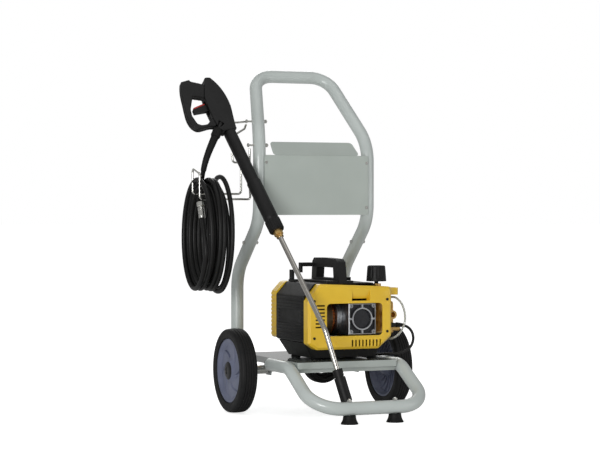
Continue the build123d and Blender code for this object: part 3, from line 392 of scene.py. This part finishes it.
lead_turns = np.arange(0.36, 13.86, 1 / LEAD_TURN_POINTS)
knots = [0.36, 0.9, 1.1, 3.1, 3.5, 5.5, 5.9, 7.9, 8.4, 11.6, 12.1, 13.86]
lead_y = np.interp(lead_turns, knots,
                   [202, 201, 207.5, 223, 223, 207.5, 207.5, 223, 223, 200.5, 200.5, 200.5])
lead_r = np.interp(lead_turns, knots, [57, 39, 38.5, 38.5, 46.3, 46.3, 54, 54, 61.6, 61.6, 54, 54])
lead_r = lead_r / 0.966  # the spline runs inside its points by this much at 12 points a turn
for turn_now, y, r in zip(lead_turns, lead_y, lead_r):
    angle = math.tau * turn_now
    lead_points.append((LEAD_MID[0] + r * math.sin(angle), float(y), LEAD_MID[1] + r * math.cos(angle)))
lead_points += [(88, 199.5, 160), (94, 192, 171), (96.5, 180, 177), (95.5, 167, 180.5), (92, 154.5, 181.2),
                (88.3, 142, 181.2)]
lead = route_curve("mains_lead", lead_points, LEAD_OD, sheath)
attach(lead, "trolley")
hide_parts("power_cord_run", "power_cord_coil")
# Strain relief: a tapered rubber boot with rings, from the gland over the first stretch of the lead.
lead_line = route_line(lead)
BOOT_LONG = 30.0
boot_line = along(lead_line, 0.5, BOOT_LONG, 60)
along_boot = np.linspace(0, 1, 60)
boot_r = 7.4 - 2.7 * along_boot + 0.45 * (np.sin(along_boot * math.tau * 6) > 0)
boot_r[-2:] -= (0.2, 0.5)
boot = carried("lead_strain_relief", boot_line, boot_r / 1000, soft_rubber)
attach(boot, "trolley")
nodes["power_plug"].data.materials.clear()
nodes["power_plug"].data.materials.append(soft_rubber)


# ---- tube trolley ---------------------------------------------------------------------------
# Bent 38 mm steel tube and folded sheet, powder coated a light cool grey with a satin orange peel.
def paint(pieces, material):
    """Gives CAD pieces their finish."""
    for name in pieces:
        nodes[name].data.materials.clear()
        nodes[name].data.materials.append(material)


powder, tree, shader, place = new_material("light grey powder coat", "#B4BBB8", 0.3, Coat_Weight=0.25,
                                           Coat_Roughness=0.12)
mix_colours(tree, shader, grain(tree, place, 120), [(0.3, "#B0B7B4"), (0.7, "#B9C0BD")])
vary_roughness(tree, shader, grain(tree, place, 9), 0.26, 0.36)
add_bump(tree, shader, grain(tree, place, 2.5, 2.0), 0.03)  # orange peel of the coat
paint(["handle_hoop", "lower_tubes", "front_hoop", "axle_brackets"], powder)

# The deck and the panel are thin sheet in the same coat, a shade greener and smoother.
sheet_coat, tree, shader, place = new_material("powder coated sheet steel", "#AAB2AC", 0.22,
                                               Coat_Weight=0.4, Coat_Roughness=0.08)
mix_colours(tree, shader, grain(tree, place, 160), [(0.3, "#A6AEA8"), (0.7, "#AEB6B0")])
add_bump(tree, shader, grain(tree, place, 3.0, 2.0), 0.02)
paint(["back_panel"], sheet_coat)
deck_coat, tree, shader, place = new_material("gloss powder coated deck", "#A4ABA6", 0.12, Coat_Weight=1.0,
                                              Coat_Roughness=0.03)
mix_colours(tree, shader, grain(tree, place, 160), [(0.3, "#A0A7A2"), (0.7, "#A8AFAA")])
vary_roughness(tree, shader, grain(tree, place, 30), 0.1, 0.16)
paint(["platform"], deck_coat)

# Bolts, screws and bent wire holders are zinc plated; the axle and the lance are bright drawn steel.
# The cover screws and the gun's valve block are blackened.
paint(["cross_bolts", "panel_screws", "foot_bolts", "gun_loop", "hose_cradle", "axle_spacers"], bright_zinc)
black_oxide, tree, shader, place = new_material("black oxide steel", "#2A2A2A", 0.45, 0.8)
mix_colours(tree, shader, grain(tree, place, 6), [(0.3, "#222222"), (0.7, "#323232")])
paint(["cover_screws", "gun_valve"], black_oxide)
drawn, tree, shader, place = new_material("bright drawn stainless steel", "#B3B0AA", 0.22, 1.0)
streak = node(tree, "Mapping", {"Vector": place})
streak.inputs["Scale"].default_value = (1.0, 1.0, 0.06)
mix_colours(tree, shader, grain(tree, streak.outputs["Vector"], 1.5), [(0.3, "#A5A29C"), (0.7, "#BFBCB6")])
vary_roughness(tree, shader, grain(tree, streak.outputs["Vector"], 1.5), 0.14, 0.28)
paint(["axle", "lance_tube", "rotor", "bearings", "plungers"], drawn)

# Feet, tube plugs and unit mounts are black rubber or soft plastic mouldings.
paint(["front_feet", "rubber_mounts", "tube_plugs"], soft_rubber)

# ---- wheels ---------------------------------------------------------------------------------
# Solid rubber tyres with four tread grooves and round shoulders, on moulded nylon rims.
TYRE_R, RIM_R, TRACK, AXLE_Z = 125.0, 95.0, 252.6, 125.0
tyre_rubber, tree, shader, place = new_material("solid tyre rubber", "#0B0B0C", 0.62,
                                                Specular_IOR_Level=0.25)
mix_colours(tree, shader, grain(tree, place, 45, 4.0), [(0.3, "#0F0F10"), (0.7, "#191919")])
vary_roughness(tree, shader, grain(tree, place, 12), 0.5, 0.75)
add_bump(tree, shader, grain(tree, place, 0.9), 0.12)
GROOVES = (-12.0, -4.0, 4.0, 12.0)


def tyre_profile():
    """Rows (across, radius) of the tyre's skin: crowned tread with V grooves, shoulders, sidewalls."""
    across = np.linspace(-17, 17, 137)
    crown = TYRE_R - 1.0 * (across / 17) ** 2
    for middle in GROOVES:
        crown = crown - 2.2 * np.clip(1 - np.abs(across - middle) / 1.4, 0, 1)
    shoulder = np.linspace(0, math.pi / 2, 14)[1:]
    right = [(17 + 8.6 * math.sin(a), TYRE_R - 1.0 - 9 * (1 - math.cos(a))) for a in shoulder]
    right += [(25.9, 112), (26, 107), (24.6, 103.5), (24.9, 101), (24.2, 97), (21, RIM_R + 0.4)]
    rows = [(-x, r) for x, r in reversed(right)] + list(zip(across, crown)) + right
    return np.array(rows)


def wheel_skin(name, side, rows, material, steps=160):
    """Rows (outwards, radius) in mm carried round the wheel's axis and closed on themselves."""
    angle = np.linspace(0, math.tau, steps, endpoint=False)
    radius = rows[:, 1][None, :] + 0 * angle[:, None]
    x = side * TRACK + side * rows[:, 0][None, :] + 0 * radius
    spots = np.stack([x, radius * np.cos(angle)[:, None], AXLE_Z + radius * np.sin(angle)[:, None]], axis=-1)
    spots = np.array([at(*p) for p in spots.reshape(-1, 3)])
    count = len(rows)
    k, j = np.meshgrid(np.arange(steps), np.arange(count), indexing="ij")
    k2, j2 = (k + 1) % steps, (j + 1) % count
    faces = np.stack([k * count + j, k2 * count + j, k2 * count + j2, k * count + j2], axis=-1).reshape(-1, 4)
    if side < 0:
        faces = faces[:, ::-1]
    return mesh_object(name, spots, faces, material)


def outward(made):
    """Turns every face of a closed skin outwards."""
    shell = bmesh.new()
    shell.from_mesh(made.data)
    bmesh.ops.recalc_face_normals(shell, faces=shell.faces)
    shell.to_mesh(made.data)
    shell.free()


rim_nylon, tree, shader, place = new_material("moulded nylon rim", "#5F6478", 0.42)
mix_colours(tree, shader, grain(tree, place, 70), [(0.3, "#585D71"), (0.7, "#686D82")])
vary_roughness(tree, shader, grain(tree, place, 10), 0.36, 0.5)
add_bump(tree, shader, grain(tree, place, 0.8), 0.06)
cap_plastic, tree, shader, place = new_material("black ABS wheel cap", "#090909", 0.38,
                                                Specular_IOR_Level=0.3)
mix_colours(tree, shader, grain(tree, place, 20), [(0.3, "#0C0C0D"), (0.7, "#141415")])
VANES, RIBS = 6, 18
CAP_PROFILE = [(20.4, 27.2), (22.2, 26.6), (24.2, 23.5), (25.4, 18), (25.9, 11.4), (24.6, 10.8), (24.4, 9)]


def rim_face(side):
    """Dished front of the rim: a disc whose depth follows radius, with swept triangular pockets."""
    radius = np.concatenate([[14.0, 20, 27, 33], np.linspace(36, 84, 40), [86, 88, 90, 92, 94.6]])
    angle = np.linspace(0, math.tau, 360, endpoint=False)
    rr, aa = np.meshgrid(radius, angle, indexing="ij")
    dish = np.interp(rr, [14, 27, 34, 40, 78, 86, 90, 94.6], [22.2, 21.6, 16, 14, 11.5, 17, 20.6, 20.8])
    swept = (aa + 0.012 * (rr - 57)) * VANES / math.tau
    local = (swept - np.floor(swept)) * math.tau / VANES * rr  # distance past the vane's leading edge, in mm
    reach = np.clip((rr - 38) / 6, 0, 1) * np.clip((80 - rr) / 6, 0, 1)
    wide = np.interp(rr, [38, 60, 80], [15, 12, 3])
    pocket = np.clip(local / 1.2, 0, 1) * np.clip((wide - local) / np.maximum(wide, 1), 0, 1) * reach
    x = side * (TRACK + dish - 9.0 * pocket)
    spots = np.stack([x, rr * np.cos(aa), AXLE_Z + rr * np.sin(aa)], axis=-1).reshape(-1, 3)
    spots = np.array([at(*p) for p in spots])
    n_r, n_a = len(radius), len(angle)
    i, j = np.meshgrid(np.arange(n_r - 1), np.arange(n_a), indexing="ij")
    j2 = (j + 1) % n_a
    faces = np.stack([i * n_a + j, (i + 1) * n_a + j, (i + 1) * n_a + j2, i * n_a + j2], axis=-1)
    faces = faces.reshape(-1, 4)
    if side < 0:
        faces = faces[:, ::-1]
    return spots, faces


for side, word in ((-1, "left"), (1, "right")):
    tyre = wheel_skin(f"tyre_skin_{word}", side, tyre_profile(), tyre_rubber)
    outward(tyre)
    by_angle(tyre, 40)
    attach(tyre, f"wheel_{word}")
    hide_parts(f"tyre_{word}")
    spots, faces = rim_face(side)
    face = mesh_object(f"rim_face_{word}", spots, faces, rim_nylon)
    by_angle(face, 30)
    thick = face.modifiers.new("wall", "SOLIDIFY")
    thick.thickness = 0.0025
    thick.offset = -1
    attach(face, f"wheel_{word}")
    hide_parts(f"wheel_rim_{word}")
    barrel_rows = np.array([(-21, 94.8), (20.6, 94.8), (20.6, 92), (12, 90), (-15, 88), (-4, 80), (-1, 36),
                            (-20, 24), (-24, 18), (-24, 8.2), (22, 8.2), (22, 13.8), (11, 14), (9, 30),
                            (7, 78), (-12, 86), (-18, 89), (-21, 90)])
    barrel = wheel_skin(f"rim_barrel_{word}", side, barrel_rows, rim_nylon, 96)
    outward(barrel)
    by_angle(barrel, 30)
    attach(barrel, f"wheel_{word}")
    rib = np.linspace(0, 1, 16)
    rib_spots, rib_faces = [], []
    for start_angle in np.arange(RIBS) * math.tau / RIBS:
        r = 25 + 61 * rib
        a = start_angle + 0.75 * rib
        deep = np.interp(r, [25, 34, 84, 90], [-18.5, -7, -8, -14])
        for half in (-0.012, 0.012):
            for x in (deep, np.interp(r, [25, 36, 80, 88], [-4, -2, -5, -13])):
                rib_spots.append(np.stack([side * (TRACK + x), r * np.cos(a + half * 57 / r),
                                           AXLE_Z + r * np.sin(a + half * 57 / r)], axis=-1))
    rib_spots = np.array([at(*p) for p in np.array(rib_spots).reshape(-1, 3)])
    for number in range(RIBS):
        first = number * 4 * len(rib)
        low_a, high_a, low_b, high_b = (first + k * len(rib) + np.arange(len(rib)) for k in range(4))
        for one, two in ((low_a, high_a), (high_a, high_b), (high_b, low_b), (low_b, low_a)):
            rib_faces += np.stack([one[:-1], one[1:], two[1:], two[:-1]], axis=-1).tolist()
        rib_faces += [[low_a[0], high_a[0], high_b[0], low_b[0]],
                      [low_a[-1], low_b[-1], high_b[-1], high_a[-1]]]
    ribs = mesh_object(f"rim_ribs_{word}", rib_spots, rib_faces, rim_nylon, smooth=False)
    outward(ribs)
    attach(ribs, f"wheel_{word}")
    cap = turned(f"hub_cap_{word}", (side * TRACK, 0, AXLE_Z), (side, 0, 0),
                 CAP_PROFILE, cap_plastic)
    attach(cap, f"wheel_{word}")
    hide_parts(f"wheel_cap_{word}")

# ---- pump unit covers -----------------------------------------------------------------------
# Injection-moulded shells. A copy of each shell gets small rounded edges, as the mould gives them.
yellow_abs, tree, shader, place = new_material("yellow ABS", "#DDB528", 0.34, Coat_Weight=0.15,
                                               Coat_Roughness=0.15)
mix_colours(tree, shader, grain(tree, place, 90), [(0.3, "#D9B024"), (0.7, "#E2BC30")])
vary_roughness(tree, shader, grain(tree, place, 14), 0.28, 0.42)
add_bump(tree, shader, grain(tree, place, 0.8), 0.05)
black_abs, tree, shader, place = new_material("black ABS, spark-eroded grain", "#090909", 0.5,
                                              Specular_IOR_Level=0.25)
mix_colours(tree, shader, grain(tree, place, 60), [(0.3, "#0E0E0E"), (0.7, "#161616")])
vary_roughness(tree, shader, grain(tree, place, 10), 0.42, 0.6)
add_bump(tree, shader, grain(tree, place, 1.0), 0.08)
die_cast, tree, shader, place = new_material("die-cast aluminium", "#B4B6B8", 0.38, 1.0)
mix_colours(tree, shader, grain(tree, place, 18), [(0.3, "#A3A5A8"), (0.7, "#C2C4C6")])
vary_roughness(tree, shader, grain(tree, place, 5), 0.28, 0.5)
add_bump(tree, shader, grain(tree, place, 1.4), 0.12)
forged_brass, tree, shader, place = new_material("forged and turned brass", "#C9A565", 0.3, 1.0)
mix_colours(tree, shader, grain(tree, place, 14), [(0.3, "#B98F50"), (0.7, "#D8B778")])
vary_roughness(tree, shader, grain(tree, place, 4), 0.2, 0.42)
add_bump(tree, shader, grain(tree, place, 1.2), 0.08)


def edged(name, new_name, body, material, width_mm):
    """A merged copy of a CAD shell whose sharp edges are rounded by width_mm; it stands for the shell."""
    mesh = nodes[name].data.copy()
    shell = bmesh.new()
    shell.from_mesh(mesh)
    bmesh.ops.remove_doubles(shell, verts=shell.verts, dist=2e-5)
    bmesh.ops.dissolve_limit(shell, angle_limit=math.radians(1.0), verts=shell.verts, edges=shell.edges)
    shell.to_mesh(mesh)
    shell.free()
    mesh.name = new_name
    made = bpy.data.objects.new(new_name, mesh)
    bpy.context.scene.collection.objects.link(made)
    mesh.materials.clear()
    mesh.materials.append(material)
    by_angle(made, 35)
    edge = made.modifiers.new("edges", "BEVEL")
    edge.width = width_mm / 1000
    edge.segments = 2
    edge.limit_method = "ANGLE"
    edge.angle_limit = math.radians(35)
    edge.use_clamp_overlap = True
    edge.harden_normals = False
    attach(made, body)
    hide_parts(name)
    return made


for name, new_name, body, material, slot, width in (
        ("front_cover", "front_cover_shell", "trolley", yellow_abs, "yellow_plastic", 1.4),
        ("rear_cover", "rear_cover_shell", "trolley", yellow_abs, "yellow_plastic", 1.4),
        ("motor_housing", "motor_housing_shell", "trolley", black_abs, "black_plastic", 1.0),
        ("base_tray", "base_tray_shell", "trolley", black_abs, "black_plastic", 1.2),
        ("carry_handle", "carry_handle_moulding", "trolley", black_abs, "black_plastic", 2.4),
        ("regulator_knob", "pressure_knob_moulding", "pressure_knob", black_abs, "black_plastic", 1.2),
        ("power_switch", "switch_moulding", "switch_knob", black_abs, "black_plastic", 0.8),
        ("cord_gland", "gland_moulding", "trolley", black_abs, "black_plastic", 0.5),
        ("crankcase", "crankcase_casting", "trolley", die_cast, "cast_aluminium", 1.2),
        ("pump_head", "pump_head_forging", "trolley", forged_brass, "brass", 1.2),
        ("lance_collar", "collar_moulding", "lance_coupling", black_abs, "black_plastic", 0.5),
        ("trigger", "trigger_moulding", "gun_trigger", black_abs, "black_plastic", 1.5)):
    edged(name, new_name, body, material, width)
paint(["valve_caps", "regulator_body", "pressure_outlet", "water_inlet", "lance_nut"], forged_brass)
paint(["cooling_fan", "nozzle"], black_abs)

# Crankcase cover: a square die casting with corner bosses, a turned ring joined to its sides by short webs,
# and black-painted pockets between them; the disc inside the ring is black too.
COVER_X, COVER_Z, COVER_BACK = 63.25, 283.0, -206.1
COVER_HALF = (44.0, 46.0)
pocket_paint, tree, shader, place = new_material("black stove enamel", "#1A1B1D", 0.4,
                                                 Specular_IOR_Level=0.4)
mix_colours(tree, shader, grain(tree, place, 8), [(0.3, "#15161A"), (0.7, "#222327")])
across = np.linspace(-COVER_HALF[0], COVER_HALF[0], 133)
up = np.linspace(-COVER_HALF[1], COVER_HALF[1], 139)
cx, cz = np.meshgrid(across, up, indexing="ij")
reach = np.hypot(cx, cz)
edge_gap = np.minimum(COVER_HALF[0] - np.abs(cx), COVER_HALF[1] - np.abs(cz))
corner = np.hypot(np.abs(cx) - 36, np.abs(cz) - 38)


def raised(distance, half_width, soft=0.7):
    """1 within half_width of a line, falling to 0 over the soft edge."""
    return np.clip((half_width - distance) / soft + 0.5, 0, 1)


lands = np.maximum.reduce([raised(edge_gap, 4.0), raised(np.abs(reach - 31), 2.6), raised(corner, 6.5),
                           raised(np.minimum(np.abs(cx), np.abs(cz)), 3.2) * (reach > 30)])
height = 3.0 + 10.0 * lands + 3.0 * raised(reach, 27.5) * (1 - (reach / 60) ** 2)
height = height - 4.0 * raised(corner, 2.6)  # heads of the four screws sit sunk in their bosses
height = height - 1.2 * np.clip(1 - edge_gap / 1.2, 0, 1)
top = np.stack([COVER_X + cx, COVER_BACK - height, COVER_Z + cz], axis=-1).reshape(-1, 3)
n_a, n_b = cx.shape
i, j = np.meshgrid(np.arange(n_a - 1), np.arange(n_b - 1), indexing="ij")
quads = np.stack([i * n_b + j, (i + 1) * n_b + j, (i + 1) * n_b + j + 1, i * n_b + j + 1], axis=-1)
quads = quads.reshape(-1, 4)
rim = np.concatenate([np.arange(n_b), np.arange(1, n_a) * n_b + n_b - 1,
                      (n_a - 1) * n_b + np.arange(n_b - 2, -1, -1), np.arange(n_a - 2, 0, -1) * n_b])
back = top[rim].copy()
back[:, 1] = COVER_BACK
start = len(top)
ring_step = np.arange(len(rim))
ring_next = (ring_step + 1) % len(rim)
walls = np.stack([rim, rim[ring_next], start + ring_next, start + ring_step], axis=-1)
spots = np.array([at(*p) for p in np.vstack([top, back])])
faces = quads.tolist() + walls.tolist() + [list(range(start, start + len(rim)))]
cover = mesh_object("crankcase_cover_casting", spots, faces, die_cast)
outward(cover)
by_angle(cover, 40)
cover.data.materials.append(pocket_paint)
dark = np.zeros(len(cover.data.polygons), int)
dark[:len(quads)] = (lands.reshape(-1)[quads].mean(axis=1) < 0.3)
cover.data.polygons.foreach_set("material_index", dark)
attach(cover, "trolley")
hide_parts("crankcase_cover")

# Motor: a stack of punched steel sheets, lacquered brown, with the bound copper windings at each end
# and the aluminium end shield that carries the front bearing.
MOTOR_AXIS = (-110.0, 283.0)
lacquer, tree, shader, place = new_material("lacquered steel laminations", "#57452F", 0.4, 0.3)
turns = node(tree, "TexWave", {"Vector": place}, wave_type="BANDS", bands_direction="X")
turns.inputs["Scale"].default_value = 1000 / (2 * math.pi * 1.6)  # 0.5 mm sheets, drawn 1.6 mm to show
mix_colours(tree, shader, turns.outputs["Fac"], [(0.2, "#2E2318"), (0.7, "#6B5433")])
add_bump(tree, shader, turns.outputs["Fac"], 0.3)
enamel_wire, tree, shader, place = new_material("enamelled copper wire", "#A45A2A", 0.3, 0.7)
mix_colours(tree, shader, grain(tree, place, 5), [(0.3, "#8A4418"), (0.7, "#B96C34")])


def motor_part(name, profile, material, sides=96, lobes=0, lobe_mm=0.0):
    """A hollow part turned about the motor's axis; the profile is a closed loop of (x, radius) in mm."""
    rows = np.asarray(profile, float)
    angle = np.linspace(0, math.tau, sides, endpoint=False)
    outside = (rows[:, 1] > rows[:, 1].mean())[:, None]
    radius = rows[:, 1][:, None] + lobe_mm * np.cos(lobes * angle)[None, :] * outside
    spots = np.stack([rows[:, 0][:, None] + 0 * radius, MOTOR_AXIS[0] + radius * np.cos(angle)[None, :],
                      MOTOR_AXIS[1] + radius * np.sin(angle)[None, :]], axis=-1).reshape(-1, 3)
    spots = np.array([at(*p) for p in spots])
    k, j = np.meshgrid(np.arange(len(rows)), np.arange(sides), indexing="ij")
    k2, j2 = (k + 1) % len(rows), (j + 1) % sides
    faces = np.stack([k * sides + j, k2 * sides + j, k2 * sides + j2, k * sides + j2], axis=-1).reshape(-1, 4)
    made = mesh_object(name, spots, faces, material)
    outward(made)
    by_angle(made, 40)
    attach(made, "trolley")
    return made


core = motor_part("stator_core", [(-70, 31.5), (-70, 57), (-69, 58), (-9, 58), (-8, 57), (-8, 31.5)],
                  lacquer, 96, 12, 0.5)
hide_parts("stator")
bundle = np.linspace(0, math.tau, 40, endpoint=False)
for word, middle in (("front", -1.5), ("rear", -76.5)):
    loop = [(middle + 6.0 * math.cos(a), 42.0 + (8.0 + 0.5 * math.cos(9 * a)) * math.sin(a)) for a in bundle]
    winding = motor_part(f"winding_{word}", loop, enamel_wire, 160, 36, 0.9)
SHIELD = [(5, 22), (5, 52), (7, 56), (9, 56), (9.5, 53), (13, 53), (13.5, 56), (16, 56), (16.9, 54),
          (16.9, 22)]
shield = motor_part("motor_end_shield", SHIELD, die_cast, 120)

# Clear soft tube of the detergent feed.
clear_pvc, tree, shader, place = new_material("clear soft PVC tube", "#EDEFEA", 0.12,
                                              Transmission_Weight=0.75,
                                              IOR=1.5)
vary_roughness(tree, shader, grain(tree, place, 8), 0.08, 0.2)
paint(["detergent_tube"], clear_pvc)

# ---- spray gun and lance --------------------------------------------------------------------
# Two glass-filled nylon half shells screwed round the valve, with the grip and guard moulded on.
nylon, tree, shader, place = new_material("glass-filled black nylon", "#090909", 0.44,
                                          Specular_IOR_Level=0.28)
mix_colours(tree, shader, grain(tree, place, 45), [(0.3, "#0A0A0A"), (0.7, "#121212")])
vary_roughness(tree, shader, grain(tree, place, 9), 0.36, 0.52)
add_bump(tree, shader, grain(tree, place, 0.9), 0.07)


def moulded(name, new_name, body, material, cell_mm, rounds):
    """A CAD solid remeshed in small cells and smoothed, so that its edges turn round as in a mould."""
    mesh = nodes[name].data.copy()
    mesh.name = new_name
    made = bpy.data.objects.new(new_name, mesh)
    bpy.context.scene.collection.objects.link(made)
    cells = made.modifiers.new("cells", "REMESH")
    cells.mode = "VOXEL"
    cells.voxel_size = cell_mm / 1000
    cells.use_smooth_shade = True
    ease = made.modifiers.new("ease", "SMOOTH")
    ease.factor = 0.5
    ease.iterations = rounds
    mesh.materials.clear()
    mesh.materials.append(material)
    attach(made, body)
    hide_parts(name)
    return made


for word in ("left", "right"):
    moulded(f"gun_shell_{word}", f"gun_half_{word}", "trolley", nylon, 1.5, 14)
red_nylon, tree, shader, place = new_material("red nylon latch", "#A3180F", 0.4)
mix_colours(tree, shader, grain(tree, place, 20), [(0.3, "#97150D"), (0.7, "#B01D13")])
paint(["safety_latch"], red_nylon)

# Lance handle: a moulded grip tube, then a thicker sleeve with fine lengthwise flutes.
GUN, LANCE_BEND = Vector((-258, 45, 845)), Vector((-110, -340, 261))
lance_way = (LANCE_BEND - GUN).normalized()
GRIP = [(14.2, 17.2), (16, 18.6), (40, 19), (186, 18.4), (194, 18.9), (196.2, 18.9), (196.6, 20.6),
        (199, 21.4), (250, 21.2), (322, 21.5), (331, 21.3), (333.6, 20.2)]
grip = turned("lance_grip", GUN, lance_way, GRIP, nylon, sides=96, lobes=24, lobe_mm=0.22)
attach(grip, "trolley")
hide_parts("lance_handle")
